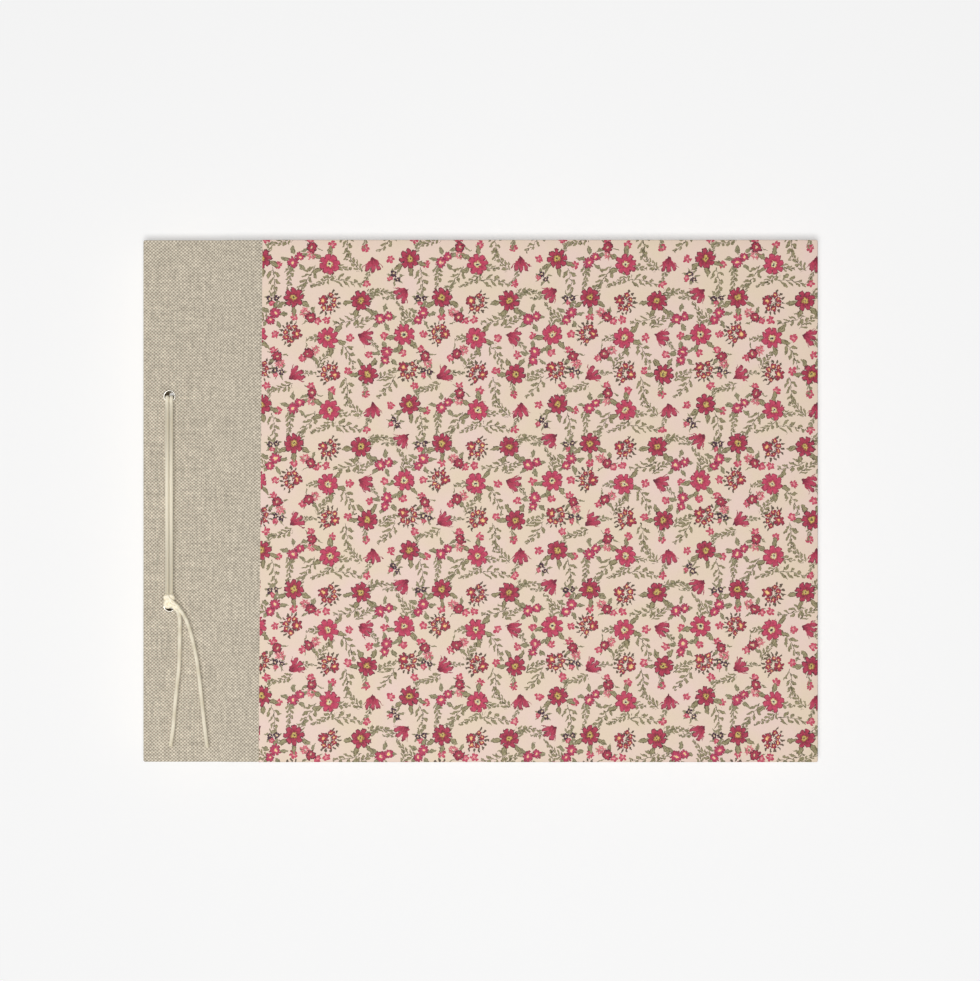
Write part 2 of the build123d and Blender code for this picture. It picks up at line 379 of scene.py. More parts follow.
PINK = ((0.0, "#F0C84E"), (1.0, "#7A2040"), (0.2, "#F3D8B0"), (0.34, "#C84468"), (0.75, "#C03A5C"))
BUTTON = (
    (0.0, "#E8B85A"), (1.0, "#3E1A28"), (0.14, "#F0D2B4"), (0.28, "#7C2038"), (0.45, "#BC3C54"),
    (0.75, "#A83048"),
)
VIOLET = ((0.0, "#F2E2A0"), (1.0, "#301824"), (0.24, "#E8C8A8"), (0.38, "#52303F"), (0.8, "#422234"))
CHERRY = ((0.0, "#F6DF9A"), (1.0, "#5A1C2C"), (0.24, "#F0C07A"), (0.4, "#AE3048"), (0.8, "#A42C44"))
BLOSSOM = ((0.0, "#F0B8A4"), (1.0, "#B03A52"), (0.26, "#E8909A"), (0.45, "#CE5068"), (0.85, "#C84460"))


def draw_print(tree, point, ground):
    """The whole floral, one kind of motif after another, the large flowers last. Returns its colour."""
    art = PrintArtist(tree, point, ground)

    art.sprig(art.shifted(art.motif("sprig"), -6.4, 0.4), 12.5, 3.0, 2.3, 0.03, OLIVE, "#5E5638")

    art.sprig(art.shifted(art.motif("spray"), -6.6, 0.8), 13.0, 4.8, 3.4, 0.025, OLIVE, "#5E5638", 0.27)

    violet = art.motif("violet")
    art.leaves(violet, 7, 1.0, 4.4, 0.5, SAGE)
    art.flower(art.shifted(violet, 1.4, 0.4), 1.5, 5, 0.45, VIOLET)
    art.flower(art.shifted(violet, -1.5, -0.5), 1.4, 5, 0.45, VIOLET)
    art.flower(art.shifted(violet, 0.1, 2.3), 1.3, 5, 0.45, BLOSSOM)

    art.flower(art.motif("blossom"), 1.9, 5, 0.55, BLOSSOM)

    button = art.motif("button")
    art.leaves(button, 5, 2.0, 6.2, 0.85, SAGE, art.add("Math.LESS_THAN", button[0], 1.0))
    art.flower(art.shifted(button, 2.0, 2.4), 1.8, 5, 0.5, BLOSSOM)
    art.leaves(art.shifted(button, -3.6, -1.6), 8, 0.4, 2.6, 0.5, BLOSSOM)
    art.flower(art.shifted(button, -0.6, 0.2), 2.5, 8, 0.22, BUTTON)

    pair = art.motif("pair")
    art.leaves(pair, 5, 2.5, 6.8, 1.0, SAGE)
    art.flower(art.shifted(pair, -2.4, 1.3), 2.2, 9, 0.35, PINK)
    art.flower(art.shifted(pair, 1.3, -0.4), 2.7, 10, 0.35, PINK)

    cluster = art.motif("cluster")
    arc = art.add("Math.GREATER_THAN", cluster[0], -1.4)
    art.leaves(cluster, 16, 4.2, 6.4, 0.5, BROWN, arc)
    art.leaves(cluster, 13, 1.2, 3.2, 0.4, BROWN)
    art.flower(art.ring(cluster, 8, 3.3), 1.35, 5, 0.4, CHERRY, arc)
    art.flower(art.shifted(cluster, -1.9, -0.6), 2.5, 6, 0.45, CHERRY)

    fan = art.motif("fan")
    art.sprig(art.shifted(fan, 0.4, -1), 7.6, 2.6, 1.9, 0.07, SAGE, "#5E5638")
    opened = art.shifted(fan, -4.4, 0)
    aside = art.add("Math.ABSOLUTE", opened[1])
    slope = art.add("Math.DIVIDE", aside, art.add("Math.MAXIMUM", opened[0], 1e-3))
    art.flower(opened, 7.4, 15, 0.42, FAN, art.add("Math.LESS_THAN", slope, 0.91))

    anemone = art.motif("anemone")
    art.sprig(art.shifted(anemone, -1, -2), 9.0, 3.0, 2.1, 0.06, SAGE, "#6E6A46")
    art.leaves(anemone, 6, 3.4, 8.8, 1.15, OLIVE, art.add("Math.LESS_THAN", anemone[0], 1.0))
    art.flower(anemone, 4.7, 8, 0.32, ANEMONE)

    rose = art.motif("rose")
    art.sprig(art.shifted(rose, 2, 1), 8.0, 3.2, 2.3, -0.05, OLIVE, "#5E5638")
    art.leaves(rose, 6, 3.6, 9.0, 1.15, OLIVE, art.add("Math.LESS_THAN", rose[0], 1.0))
    art.flower(rose, 4.9, 8, 0.3, ROSE)
    return art.colour


# ---------------------------------------------------------------- materials


def printed_paper(covers):
    """Offset-printed, matt-sealed cover paper: small flowers on cream, and almost no shine."""
    material, tree, shader, point = new_material("matt printed cover paper")
    wash = add(tree, "TexNoise", point, None, 0.055, 2.0, 0.5)
    tint = add(tree, "MapRange", wash, 0.34, 0.66, 0.0, 1.0)
    ground = add(tree, "MixRGB", tint, (*covers.ground, 1), (*covers.blush, 1))
    colour = draw_print(tree, point, ground)
    # Uneven inking, in patches of about a millimetre, that darkens the flowers more than the ground.
    inking = add(tree, "MapRange", add(tree, "TexNoise", point, None, 0.9, 3.0, 0.6), 0.3, 0.7, 0.66, 1.12)
    inked = add(tree, "MixRGB", 1.0, colour, inking, blend_type="MULTIPLY")
    pale = add(tree, "MapRange", add(tree, "SeparateColor", colour).outputs[1], 0.35, 0.6, 0.0, 1.0)
    colour = add(tree, "MixRGB", pale, inked, colour)
    # Paper fibre is far under 0.1 mm, so it is drawn at 0.5 mm, which is as fine as shows.
    fibre = add(tree, "TexNoise", point, None, 2.0, 3.0, 0.6)
    shade = add(tree, "MapRange", fibre, 0.25, 0.75, 0.895, 0.975)
    colour = add(tree, "MixRGB", 1.0, colour, shade, blend_type="MULTIPLY")
    feed(tree, shader, {"Base Color": colour, "Roughness": 0.62, "Specular IOR Level": 0.3})
    return material


def linen_cloth(covers):
    """Plain-weave linen book cloth: thick and thin threads, with painted shade where they dive, dry and matt.
    """
    material, tree, shader, point = new_material("plain-weave linen book cloth")
    warp = covers.warp_pitch / MM
    weft = covers.weft_pitch / MM
    parts = add(tree, "SeparateXYZ", point)
    # Height counts on both ways, so that the weave goes on down the covers' edges.
    height = parts.outputs[2]
    spread = add(tree, "CombineXYZ", height, height, height)
    point = add(tree, "VectorMath.ADD", point, spread)
    wander = add(tree, "TexNoise", point, None, 0.12, 2.0, 0.5)
    wander = add(tree, "VectorMath.MULTIPLY", wander.outputs["Color"], (1.1, 1.1, 0))
    placed = add(tree, "VectorMath.ADD", point, wander)
    turns = add(tree, "VectorMath.MULTIPLY", placed, (math.pi / warp, math.pi / weft, 1))
    turns = add(tree, "SeparateXYZ", turns)
    waves = [add(tree, "Math.SINE", turns.outputs[way]) for way in (0, 1)]
    knit = add(tree, "MapRange", add(tree, "Math.MULTIPLY", *waves), -0.75, 0.75, 0.0, 1.0)
    # Slubs: one thread keeps its shade for some millimetres.
    slubs = []
    for run in ((1.25 / warp, 0.06, 0.0), (0.06, 1.25 / weft, 0.0)):
        thread = add(tree, "VectorMath.MULTIPLY", point, run)
        slubs.append(add(tree, "TexNoise", thread, None, 1.0, 2.0, 0.6))
    slub = add(tree, "MapRange", add(tree, "Math.ADD", *slubs), 0.7, 1.3, 0.78, 1.18)
    # A thread crosses brighter or darker here and there, by its twist.
    twist = add(tree, "MapRange", add(tree, "TexNoise", point, None, 0.62, 1.0, 0.5), 0.25, 0.75, 0.84, 1.15)
    slub = add(tree, "Math.MULTIPLY", slub, twist)
    # The weave's ramp paints shade where the threads dive and light where they ride on top, over the same
    # heights as the bump.
    weave = add(
        tree, "ValToRGB", knit,
        stops=((0.0, "#8C8271"), (1.0, "#DCD3C2"), (0.3, "#AEA391"), (0.65, "#C6BCAA")),
    )
    cloth = add(tree, "MixRGB", 0.12, weave, (*covers.linen, 1))
    colour = add(tree, "MixRGB", 1.0, cloth, slub, blend_type="MULTIPLY")
    relief = add(tree, "Bump", named={"Strength": 1, "Distance": 0.12 * MM, "Height": knit})
    feed(tree, shader, {"Base Color": colour, "Roughness": 0.9, "Specular IOR Level": 0.2, "Normal": relief})
    return material


def card_stock(name, colour, mottle):
    """Uncoated card or board: flat and dry, with a faint cloudy mottle from its pulp."""
    material, tree, shader, point = new_material(name)
    cloud = add(tree, "TexNoise", point, None, 0.35, 4.0, 0.6)
    shade = add(tree, "MapRange", cloud, 0.3, 0.7, 1 - mottle, 1 + mottle)
    mixed = add(tree, "MixRGB", 1.0, (*colour, 1), shade, blend_type="MULTIPLY")
    feed(tree, shader, {"Base Color": mixed, "Roughness": 0.85, "Specular IOR Level": 0.25})
    return material


def greyboard(covers):
    """Bare recycled board, which shows at its cut edges in the cloth joints."""
    return card_stock("bare recycled greyboard", covers.board, 0.06)


def lining_paper(covers):
    """Plain uncoated lining paper, pasted smooth."""
    return card_stock("uncoated lining paper", covers.lining, 0.02)


def leaf_card(filling):
    """Uncoated cream card of the leaves."""
    return card_stock("uncoated cream card", filling.card, 0.015)


def guard_card(filling):
    """Buff card of the guards between the stubs."""
    return card_stock("buff guard card", filling.guard, 0.03)


def cotton_cord(lacing):
    """Soft braided cotton: crossing strands, with painted shade in the crevices between them and a little
    painted light on their crests, off-white and quite matt.
    """
    material, tree, shader, _ = new_material("braided unbleached cotton")
    along = tree.nodes.new("ShaderNodeUVMap")
    along.uv_map = "Cord"
    parts = add(tree, "SeparateXYZ", along)
    # The map's x counts repeats of the braid along the cord, and y runs once round it.
    strands = []
    for turns in (3.0, -3.0):
        wave = add(tree, "Math.MULTIPLY_ADD", parts.outputs[1], turns, parts.outputs[0])
        strands.append(add(tree, "Math.SINE", add(tree, "Math.MULTIPLY", wave, math.tau)))
    height = add(tree, "MapRange", add(tree, "Math.MAXIMUM", *strands), -0.6, 1.0, 0.0, 1.0)
    # Painted shade in the crevices between the strands, and a little painted light on their crests.
    colour = add(tree, "ValToRGB", height, stops=((0.0, "#D8C79F"), (1.0, "#FFFAEA"), (0.5, "#FAEFD4")))
    mixed = add(tree, "MixRGB", 0.45, colour, (*lacing.cord, 1))
    relief = add(tree, "Bump", named={"Strength": 1, "Distance": 0.08 * MM, "Height": height})
    feed(tree, shader, {"Base Color": mixed, "Roughness": 0.8, "Sheen Weight": 0.15, "Normal": relief})
    return material


def nickel_plate(lacing):
    """Pressed and nickel-plated eyelet brass: a pale, slightly brushed shine round the roll."""
    material, tree, shader, point = new_material("nickel-plated pressed brass")
    grain = add(tree, "TexNoise", point, None, 6.0, 2.0, 0.5)
    rough = add(tree, "MapRange", grain, 0.3, 0.7, 0.26, 0.4)
    tint = add(tree, "MapRange", grain, 0.3, 0.7, 0.93, 1.03)
    mixed = add(tree, "MixRGB", 1.0, (*lacing.metal, 1), tint, blend_type="MULTIPLY")
    feed(tree, shader, {"Base Color": mixed, "Roughness": rough, "Metallic": 1})
    return material


def floor_paint(stage):
    """White acrylic light table: it glows evenly, so that only short soft shadows show."""
    material, tree, shader, point = new_material("white acrylic light table")
    cloud = add(tree, "TexNoise", point, None, 0.01, 2.0, 0.5)
    shade = add(tree, "MapRange", cloud, 0.3, 0.7, 0.997, 1.003)
    mixed = add(tree, "MixRGB", 1.0, (*stage.floor, 1), shade, blend_type="MULTIPLY")
    feed(tree, shader, {"Base Color": mixed, "Roughness": 1, "Specular IOR Level": 0})
    feed(tree, shader, {"Emission Color": (1, 1, 1, 1), "Emission Strength": stage.glow})
    return material


MADE = {}


def finish(make, settings):
    """The one material that make gives."""
    if make not in MADE:
        MADE[make] = make(settings)
    return MADE[make]


# ---------------------------------------------------------------- shapes


FLAT_CREASE = 12  # degrees; keeps flat faces flat beside their rounded edges
ROUND_CREASE = 60  # degrees; lets a cord's sides run into each other
ROLL_CREASE = 50  # degrees; the same for an eyelet's roll, but not for its end
ROUND_STEPS = 48  # sides of an eyelet and of its hole
ROLL_STEPS = 8  # of an eyelet's rolled rim


def shade(mesh, crease):
    """Shade the mesh smooth but for edges sharper than crease degrees."""
    mesh.shade_smooth()
    mesh.set_sharp_from_angle(angle=math.radians(crease))


def new_piece(name, bm, material, crease=FLAT_CREASE):
    """A finished mesh as a piece at the origin, smooth but for edges sharper than crease degrees."""
    mesh = bpy.data.meshes.new(name)
    bm.to_mesh(mesh)
    bm.free()
    mesh.materials.append(material)
    shade(mesh, crease)
    piece = bpy.data.objects.new(name, mesh)
    bpy.context.scene.collection.objects.link(piece)
    return piece


def finished_mesh(piece):
    """The mesh that a piece's modifiers, or a curve's bevel, make."""
    bpy.context.view_layer.update()
    return bpy.data.meshes.new_from_object(piece.evaluated_get(bpy.context.evaluated_depsgraph_get()))


def thicken(piece, thickness, *cutters):
    """Give a sheet its thickness, inwards from its outer face, and cut the cutters' shapes out of it."""
    wall = piece.modifiers.new("thickness", "SOLIDIFY")
    wall.thickness = thickness
    wall.offset = -1
    wall.use_even_offset = True
    for cutter in cutters:
        cut = piece.modifiers.new("cut", "BOOLEAN")
        cut.operation = "DIFFERENCE"
        cut.object = cutter
    mesh = finished_mesh(piece)
    shade(mesh, FLAT_CREASE)
    piece.modifiers.clear()
    piece.data = mesh
    for cutter in cutters:
        bpy.data.objects.remove(cutter)


def block(low, high):
    """A bmesh box between two corners."""
    bm = bmesh.new()
    middle = [(a + b) / 2 for a, b in zip(low, high)]
    size = [b - a for a, b in zip(low, high)]
    bmesh.ops.create_cube(bm, size=1, matrix=Matrix.Translation(middle) @ Matrix.Diagonal((*size, 1)))
    return bm


def round_edges(bm, chosen, radius, segments):
    """Round the edges that chosen(start, end, middle) picks."""
    edges = []
    for edge in bm.edges:
        start, end = (vertex.co for vertex in edge.verts)
        if chosen(start, end, (start + end) / 2):
            edges.append(edge)
    bmesh.ops.bevel(
        bm, geom=edges, offset=radius, offset_type="OFFSET", segments=segments, profile=0.5,
        affect="EDGES", material=-1, clamp_overlap=True,
    )


def cut_across(bm, place, way):
    """Cut the whole mesh with a plane through place, square to way."""
    bmesh.ops.bisect_plane(bm, geom=[*bm.verts, *bm.edges, *bm.faces], plane_co=place, plane_no=way)


def remove_faces(bm, chosen):
    """Delete the faces that chosen(middle, normal) picks."""
    bm.normal_update()
    faces = [face for face in bm.faces if chosen(face.calc_center_median(), face.normal)]
    bmesh.ops.delete(bm, geom=faces, context="FACES")


def ease(share):
    """Smooth step from 0 to 1."""
    share = min(max(share, 0), 1)
    return share * share * (3 - 2 * share)


# ---------------------------------------------------------------- cord


def cord_line(name, points, radius=0.0, widths=(), facets=16):
    """A smooth line through the space of its control points, as a mesh: the bare centreline, or
    a round cord of the radius, which widths vary point by point."""
    curve = bpy.data.curves.new(name, "CURVE")
    curve.dimensions = "3D"
    curve.resolution_u = 12
    curve.bevel_depth = radius
    curve.bevel_resolution = facets // 4 - 1
    curve.use_fill_caps = True
    spline = curve.splines.new("NURBS")
    spline.points.add(len(points) - 1)
    for number, (control, place) in enumerate(zip(spline.points, points)):
        control.co = (*place, 1)
        control.radius = widths[number] if widths else 1
    spline.order_u = 3
    spline.use_endpoint_u = True
    line = bpy.data.objects.new(name, curve)
    bpy.context.scene.collection.objects.link(line)
    mesh = finished_mesh(line)
    bpy.data.objects.remove(line)
    return mesh


def centreline(name, points):
    return [vertex.co.copy() for vertex in cord_line(name, points).vertices]


def add_cord(bm, name, points, lacing, widths=()):
    """Add a cord to a bmesh, with a map that counts the braid's repeats along it."""
    line = centreline(name, points)
    length = sum((end - start).length for start, end in zip(line, line[1:]))
    tube = cord_line(name, points, lacing.diameter / 2, widths, lacing.facets)
    own = bmesh.new()
    own.from_mesh(tube)
    bmesh.ops.remove_doubles(own, verts=own.verts, dist=0.001 * MM)
    bmesh.ops.recalc_face_normals(own, faces=own.faces)
    old = own.loops.layers.uv.active
    new = own.loops.layers.uv.new("Cord")
    for face in own.faces:
        for corner in face.loops:
            around, along = corner[old].uv
            corner[new].uv = (along * length / lacing.braid_repeat, around)
    own.loops.layers.uv.remove(own.loops.layers.uv[old.name])
    own.to_mesh(tube)
    own.free()
    bm.from_mesh(tube)
    return line


def eyelet_places():
    """Centres of the upper and lower lacing holes."""
    low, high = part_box("front_eyelets")
    rim = (high.x - low.x) / 2
    return Vector((low.x + rim, high.y - rim)), Vector((low.x + rim, low.y + rim))


def finish_cord(name, bm, lacing, *nodes):
    """A cord piece, which the lacing holds on the leaves and spine strips."""
    piece = new_piece(name, bm, finish(cotton_cord, lacing), ROUND_CREASE)
    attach(piece, "spine_block")
    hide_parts(*nodes)
    return piece


# Routes of the two tails: across and up from the lower eyelet's centre, mm. The first two points are at the
# height of the front strands, and the rest lie on the linen.
TAILS = {
    "left": (
        (2.4, -0.4), (3.9, -2.3), (4.8, -4.6), (4.9, -9.5), (4.8, -17.0), (4.6, -27.5),
        (3.4, -38.0), (2.4, -48.5), (1.8, -57.0), (0.6, -64.3),
    ),
    "right": (
        (3.2, 0.4), (5.3, -2.0), (7.6, -5.6), (9.7, -11.4), (11.4, -18.4), (13.2, -27.6),
        (14.6, -40.0), (16.1, -54.5), (17.5, -64.8),
    ),
}
LINEN_GAP = 0.1  # mm, from the tails to the linen

# The knot's bands: across and up from the lower eyelet's centre and height over the linen, mm. Two ends come
# up through the eyelet and two along the front. They cross in the middle of the knot, one end goes round
# over the hole, and both leave as the tails.
KNOT_BANDS = (
    ((-0.96, 0.45, 0.3), (-0.96, 0.5, 1.1), (-0.3, 1.2, 1.5), (0.4, 2.0, 1.6)),
    ((0.96, 0.45, 0.3), (0.96, 0.5, 1.1), (0.8, 1.4, 1.5), (0.6, 2.2, 1.6)),
    ((-0.96, 5.6, 1.4), (-0.96, 4.6, 1.35), (-0.8, 3.4, 1.2), (-0.2, 2.4, 1.2)),
    ((0.96, 5.6, 1.4), (0.96, 4.6, 1.35), (0.9, 3.4, 1.2), (0.5, 2.4, 1.2)),
    (
        (-0.2, 2.4, 1.3), (-1.2, 3.0, 1.7), (-1.7, 4.0, 2.3), (-0.9, 4.6, 3.0), (0.1, 3.6, 3.25),
        (1.2, 2.2, 3.2), (2.3, 1.2, 2.6), (3.2, 0.4, 1.9), (4.0, -0.5, 1.5),
    ),
    (
        (0.4, 2.4, 1.3), (1.4, 3.0, 1.7), (1.9, 4.0, 2.3), (1.1, 4.7, 2.8), (0.3, 3.7, 2.7),
        (-0.7, 2.4, 2.5), (-1.6, 1.3, 2.3), (-1.4, 0.1, 2.0), (-0.4, -0.3, 2.0), (0.8, 0.5, 2.0),
        (1.7, 0.3, 1.7), (2.4, -0.4, 1.4), (3.2, -1.4, 1.2),
    ),
)
BAND_WIDTH = 1.2  # slack bands of the knot, as a share of the pulled cord


# ---------------------------------------------------------------- pieces


def finish_node(name, make, settings):
    """Give a piece of the frame, which keeps its own mesh, the finish that make gives."""
    mesh = frame["nodes"][name].data
    mesh.materials.clear()
    mesh.materials.append(finish(make, settings))


def leaf_heights(name):
    """Heights of a leaf's middle plane at its stub and at its fore edge."""
    corners = [vertex.co for vertex in frame["nodes"][name].data.vertices]
    heights = []
    for end in ([c.z for c in corners if c.x < 0], [c.z for c in corners if c.x > 0]):
        heights.append((min(end) + max(end)) / 2)
    return heights


LAMPS = {"overhead": ((-0.02, -0.14, 1.7), 0.27), "key": ((-0.88, -0.36, 1.33), 0.5)}  # place and width, m
FLOOR_WIDTH = 12  # m
FLOOR_GAP = 0.02  # mm, under the album


class ALBUM_OT_stage(bpy.types.Operator):
    """Put down the floor, the camera and the studio lights"""

    bl_idname = "album.stage"
    bl_label = "Stage"

    def execute(self, context):
        stage = context.scene.album_stage
        low, high = cad_bounds
        cover_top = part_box("front_cover_paper")[1].z
        middle = (Vector(low) + Vector(high)) / 2

        camera = bpy.data.cameras.new("camera")
        camera.sensor_fit = "VERTICAL"
        camera.angle = 2 * math.atan(stage.picture / 2 / stage.distance)
        camera.clip_end = 20
        viewer = bpy.data.objects.new("camera", camera)
        viewer.location = (middle.x + stage.aim_across, middle.y + stage.aim_up, cover_top + stage.distance)
        context.scene.collection.objects.link(viewer)
        context.scene.camera = viewer

        bm = bmesh.new()
        bmesh.ops.create_grid(bm, x_segments=1, y_segments=1, size=FLOOR_WIDTH / 2)
        bmesh.ops.translate(bm, verts=bm.verts, vec=(0, 0, low[2] - FLOOR_GAP * MM))
        floor = new_piece("floor", bm, floor_paint(stage))

        world = bpy.data.worlds.new("studio")
        world.use_nodes = True
        background = world.node_tree.nodes["Background"]
        background.inputs["Color"].default_value = (1, 1, 1, 1)
        background.inputs["Strength"].default_value = stage.fill
        context.scene.world = world
        context.scene.view_settings.view_transform = "Standard"

        for name, (place, width) in LAMPS.items():
            light = bpy.data.lights.new(name, "AREA")
            light.shape = "DISK"
            light.size = width
            light.energy = getattr(stage, name)
            lamp = bpy.data.objects.new(name, light)
            lamp.location = place
            lamp.rotation_euler = (-Vector(place)).to_track_quat("-Z", "Y").to_euler()
            context.scene.collection.objects.link(lamp)
        # The key, the last lamp, is flagged off the floor: it models the cord and the weave, and throws no
        # long shadow.
        flagged = bpy.data.collections.new("flagged off the floor")
        flagged.objects.link(floor)
        lamp.light_linking.receiver_collection = flagged
        flagged.collection_objects[0].light_linking.link_state = "EXCLUDE"
        return {"FINISHED"}


class ALBUM_OT_tails(bpy.types.Operator):
    """Lay the two free ends of the cord on the linen"""

    bl_idname = "album.tails"
    bl_label = "Cord tails"

    def execute(self, context):
        lacing = context.scene.album_lacing
        lower = eyelet_places()[1]
        linen_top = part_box("front_linen_strip")[1].z
        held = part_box("lacing_turn_left")[1].z - lacing.diameter / 2
        lying = linen_top + LINEN_GAP * MM + lacing.diameter / 2
        for side, route in TAILS.items():
            points = [
                (lower.x + across * MM, lower.y + up * MM, held if number < 2 else lying)
                for number, (across, up) in enumerate(route)
            ]
            bm = bmesh.new()
            line = add_cord(bm, f"tail_{side}", points, lacing)
            tail = finish_cord(f"tail_{side}", bm, lacing, f"cord_tail_{side}")
        return {"FINISHED"}


class ALBUM_OT_lacing(bpy.types.Operator):
    """Lace the cord twice through the eyelets and knot it over the lower one"""

    bl_idname = "album.lacing"
    bl_label = "Lacing and knot"

    def execute(self, context):
        lacing = context.scene.album_lacing
        lower = eyelet_places()[1]
        linen_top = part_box("front_linen_strip")[1].z
        bend = 4 * MM
        straight = 20 * MM  # half of the run that lies straight between the eyelets
        for side in ("left", "right"):
            low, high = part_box(f"lacing_turn_{side}")
            across = (low.x + high.x) / 2
            top = high.z - lacing.diameter / 2
            bottom = low.z + lacing.diameter / 2
            head = high.y - lacing.diameter / 2
            tail = low.y + lacing.diameter / 2
            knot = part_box("lacing_knot")[1].y
            end = high.z - 2 * MM  # inside the knot
            route = (
                (knot, top), (-straight, top), (straight, top),
                (head - bend, top), (head, top), (head, top - bend),
                (head, bottom + bend), (head, bottom), (head - bend, bottom),
                (straight, bottom), (-straight, bottom),
                (tail + bend, bottom), (tail, bottom), (tail, bottom + bend), (tail, end),
            )
            bm = bmesh.new()
            add_cord(bm, f"lacing_{side}", [(across, *place) for place in route], lacing)
            finish_cord(f"lacing_{side}", bm, lacing, f"lacing_turn_{side}")

        bm = bmesh.new()
        for band in KNOT_BANDS:
            points = [(lower.x + x * MM, lower.y + y * MM, linen_top + z * MM) for x, y, z in band]
            add_cord(bm, "band", points, lacing, [BAND_WIDTH] * len(points))
        finish_cord("knot", bm, lacing, "lacing_knot")
        return {"FINISHED"}


class ALBUM_OT_eyelets(bpy.types.Operator):
    """Press the four eyelets into the spine strips"""

    bl_idname = "album.eyelets"
    bl_label = "Eyelets"

    def execute(self, context):
        lacing = context.scene.album_lacing
        for side, inward in SIDES.items():
            low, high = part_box(f"{side}_eyelets")
            rim = (high.x - low.x) / 2
            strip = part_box(f"{side}_linen_strip")
            outer = strip[1].z if inward < 0 else strip[0].z
            inner = strip[0].z if inward < 0 else strip[1].z
            roll = high.z - outer if inward < 0 else outer - low.z
            bore = lacing.bore / 2
            wall = lacing.eyelet_wall
            bm = bmesh.new()
            for centre in eyelet_places():
                profile = [(bore + wall, inner), (bore, inner)]
                for step in range(ROLL_STEPS + 1):
                    turn = math.pi * step / ROLL_STEPS
                    across = (bore + rim) / 2 - (rim - bore) / 2 * math.cos(turn)
                    profile.append((across, outer - inward * roll * math.sin(turn)))
                profile.append((bore + wall, outer))
                verts = [bm.verts.new((centre.x + out, centre.y, z)) for out, z in profile]
                edges = [bm.edges.new((a, b)) for a, b in zip(verts, [*verts[1:], verts[0]])]
                bmesh.ops.spin(
                    bm, geom=[*verts, *edges], cent=(centre.x, centre.y, 0), axis=(0, 0, 1), angle=math.tau,
                    steps=ROUND_STEPS, use_merge=True,
                )
            bmesh.ops.recalc_face_normals(bm, faces=bm.faces)
            eyelets = new_piece(f"{side}_eyelet_pair", bm, finish(nickel_plate, lacing), ROLL_CREASE)
            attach(eyelets, "spine_block")
            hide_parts(f"{side}_eyelets")
        return {"FINISHED"}


class ALBUM_OT_linen(bpy.types.Operator):
    """Wrap linen round each spine strip, over the cloth joint and on to the cover"""

    bl_idname = "album.linen"
    bl_label = "Linen spines"

    def execute(self, context):
        covers = context.scene.album_covers
        lacing = context.scene.album_lacing
        barrel = lacing.bore / 2 + lacing.eyelet_wall
        for side, inward in SIDES.items():
            strip_low, strip_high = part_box(f"{side}_linen_strip")
            cover_low, cover_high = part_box(f"{side}_linen_cover")
            strip_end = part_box(f"{side}_spine_board")[1].x
            board_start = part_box(f"{side}_board")[0].x
            rise = cover_high.z - strip_high.z
            lap = covers.paper_lap

            # A closed box over strip, joint and cover, at the strip's height; the outer face is at high z on
            # the front and low z on the back.
            bm = block(
                (strip_low.x, strip_low.y + lap, strip_low.z),
                (cover_high.x + covers.under_paper, strip_high.y - lap, strip_high.z),
            )
            round_edges(
                bm, lambda a, b, m: abs(a.z - b.z) > MM and m.x < strip_end, covers.corner_round, 5
            )
            round_edges(
                bm, lambda a, b, m: abs(a.z - b.z) < 0.1 * MM and m.x < cover_high.x, covers.edge_round, 4
            )
            for step in range(covers.joint_cuts + 1):
                x = strip_end + (board_start - strip_end) * step / covers.joint_cuts
                cut_across(bm, (x, 0, 0), (1, 0, 0))
            for edge in (-1, 1):
                cut_across(bm, (0, edge * (strip_high.y - covers.turn_in), 0), (0, 1, 0))

            def unwanted(middle, normal):
                outwards = -normal.z * inward
                end = middle.x > cover_high.x and normal.x > 0.9
                joint = strip_end < middle.x < board_start and outwards < 0.5
                inside = outwards < -0.9 and abs(middle.y) < strip_high.y - covers.turn_in
                return end or joint or (middle.x > board_start and inside)

            remove_faces(bm, unwanted)
            for vertex in bm.verts:
                share = ease((vertex.co.x - strip_end) / (board_start - strip_end))
                vertex.co.z += share * (rise + inward * lap)

            cutters = []
            for centre in eyelet_places():
                hole = bmesh.new()
                bmesh.ops.create_cone(
                    hole, cap_ends=True, segments=ROUND_STEPS, radius1=barrel, radius2=barrel, depth=20 * MM,
                    matrix=Matrix.Translation((*centre, strip_low.z)),
                )
                cutters.append(new_piece("cutter", hole, finish(linen_cloth, covers)))
            linen = new_piece(f"{side}_linen", bm, finish(linen_cloth, covers))
            thicken(linen, covers.covering, *cutters)
            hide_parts(f"{side}_linen_strip", f"{side}_linen_cover")
            if side == "front":
                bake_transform(linen)
            else:
                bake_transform(linen)
        return {"FINISHED"}


class ALBUM_OT_papers(bpy.types.Operator):
    """Cover each board with printed paper, turned in at head, tail and fore edge"""

    bl_idname = "album.papers"
    bl_label = "Printed papers"

    def execute(self, context):
        covers = context.scene.album_covers
        for side, inward in SIDES.items():
            low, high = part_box(f"{side}_cover_paper")
            bm = block(low, high)
            round_edges(bm, lambda a, b, m: abs(a.z - b.z) > MM and m.x > low.x + MM, covers.corner_round, 5)
            round_edges(
                bm, lambda a, b, m: abs(a.z - b.z) < 0.1 * MM and m.x > low.x + MM, covers.edge_round, 4
            )
            inner_y = high.y - covers.turn_in
            for edge in (-1, 1):
                cut_across(bm, (0, edge * inner_y, 0), (0, 1, 0))
            cut_across(bm, (high.x - covers.turn_in, 0, 0), (1, 0, 0))

            def unwanted(middle, normal):
                window = abs(middle.y) < inner_y and middle.x < high.x - covers.turn_in
                return normal.x < -0.9 or (normal.z * inward > 0.9 and window)

            remove_faces(bm, unwanted)
            # The sheet was pasted a little askew along the linen.
            for vertex in bm.verts:
                if vertex.co.x < low.x + MM:
                    vertex.co.x += covers.askew * vertex.co.y / high.y
            paper = new_piece(f"{side}_paper", bm, finish(printed_paper, covers))
            thicken(paper, covers.covering)
            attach(paper, f"{side}_cover")
            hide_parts(f"{side}_cover_paper")
        return {"FINISHED"}


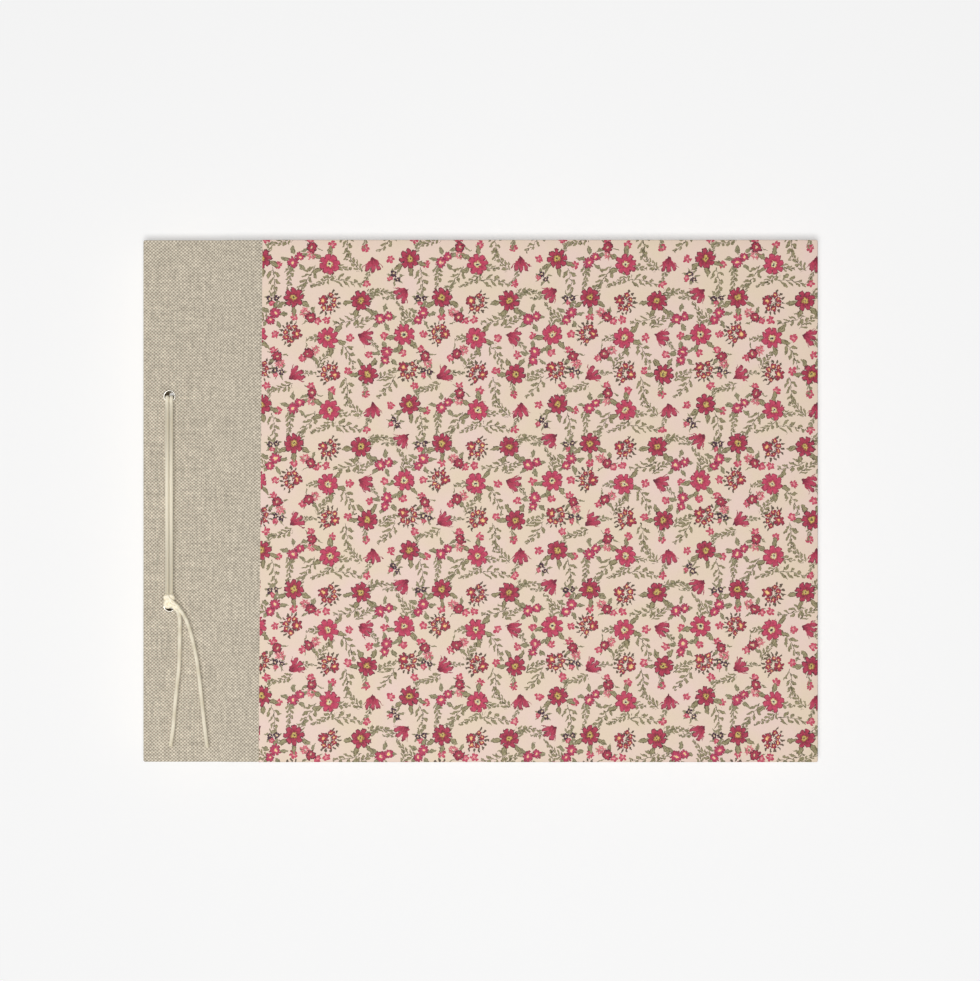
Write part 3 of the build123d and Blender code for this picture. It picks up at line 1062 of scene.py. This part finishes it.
class ALBUM_OT_boards(bpy.types.Operator):
    """Finish the boards and the linings inside the covers"""

    bl_idname = "album.boards"
    bl_label = "Boards and linings"

    def execute(self, context):
        covers = context.scene.album_covers
        for side in SIDES:
            finish_node(f"{side}_board", greyboard, covers)
            finish_node(f"{side}_spine_board", greyboard, covers)
            finish_node(f"{side}_lining", lining_paper, covers)
        return {"FINISHED"}


class ALBUM_OT_leaves(bpy.types.Operator):
    """Cut the leaves, each with a run of cuts across it beside its stub, and finish the stubs and guards"""

    bl_idname = "album.leaves"
    bl_label = "Leaves, stubs and guards"

    def execute(self, context):
        filling = context.scene.album_filling
        stub_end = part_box("leaf_stubs")[1].x
        ranges = {joint["child"]: joint for joint in frame["record"]["behaviour"]["joints"]}
        for name in LEAF_NAMES:
            low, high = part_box(name)
            turned = ranges[name]["range_deg"][1] > 90
            bend = filling.turned_bend if turned else filling.resting_bend
            thick = filling.leaf_thick
            fore = high.x
            bm = block((stub_end, low.y, -thick / 2), (fore, high.y, thick / 2))
            round_edges(bm, lambda a, b, m: abs(a.z - b.z) > thick / 2 and m.x > 0, filling.leaf_corner, 3)
            cuts = math.ceil(bend / MM)
            for step in range(1, cuts + 1):
                cut_across(bm, (stub_end + bend * step / cuts, 0, 0), (1, 0, 0))
            stub_z, fore_z = leaf_heights(name)
            for vertex in bm.verts:
                share = max(0, (vertex.co.x - low.x) / (fore - low.x))
                vertex.co.z += stub_z + (fore_z - stub_z) * share
            leaf = new_piece(name.replace("leaf", "page"), bm, finish(leaf_card, filling))
            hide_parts(name)
            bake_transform(leaf)
        finish_node("leaf_stubs", leaf_card, filling)
        finish_node("guard_strips", guard_card, filling)
        return {"FINISHED"}


class ALBUM_PT_album(bpy.types.Panel):
    """The album's pieces, each with its button"""

    bl_label = "Laced album"
    bl_idname = "ALBUM_PT_album"
    bl_space_type = "VIEW_3D"
    bl_region_type = "UI"
    bl_category = "Album"

    def draw(self, context):
        for operator in OPERATORS:
            self.layout.operator(operator.bl_idname)
        for group in GROUPS:
            settings = getattr(context.scene, group)
            for name in GROUPS[group].__annotations__:
                self.layout.prop(settings, name)


GROUPS = {
    "album_stage": AlbumStage,
    "album_lacing": AlbumLacing,
    "album_covers": AlbumCovers,
    "album_filling": AlbumFilling,
}
OPERATORS = (
    ALBUM_OT_stage,
    ALBUM_OT_tails,
    ALBUM_OT_lacing,
    ALBUM_OT_eyelets,
    ALBUM_OT_linen,
    ALBUM_OT_papers,
    ALBUM_OT_boards,
    ALBUM_OT_leaves,
)


def register():
    for made in (*GROUPS.values(), *OPERATORS, ALBUM_PT_album):
        bpy.utils.register_class(made)
    for name, group in GROUPS.items():
        setattr(bpy.types.Scene, name, PointerProperty(type=group))


def unregister():
    for name in GROUPS:
        delattr(bpy.types.Scene, name)
    for made in reversed((*GROUPS.values(), *OPERATORS, ALBUM_PT_album)):
        bpy.utils.unregister_class(made)


def main():
    register()
    for operator in OPERATORS:
        category, name = operator.bl_idname.split(".")
        getattr(getattr(bpy.ops, category), name)()


if __name__ == "__main__":
    main()
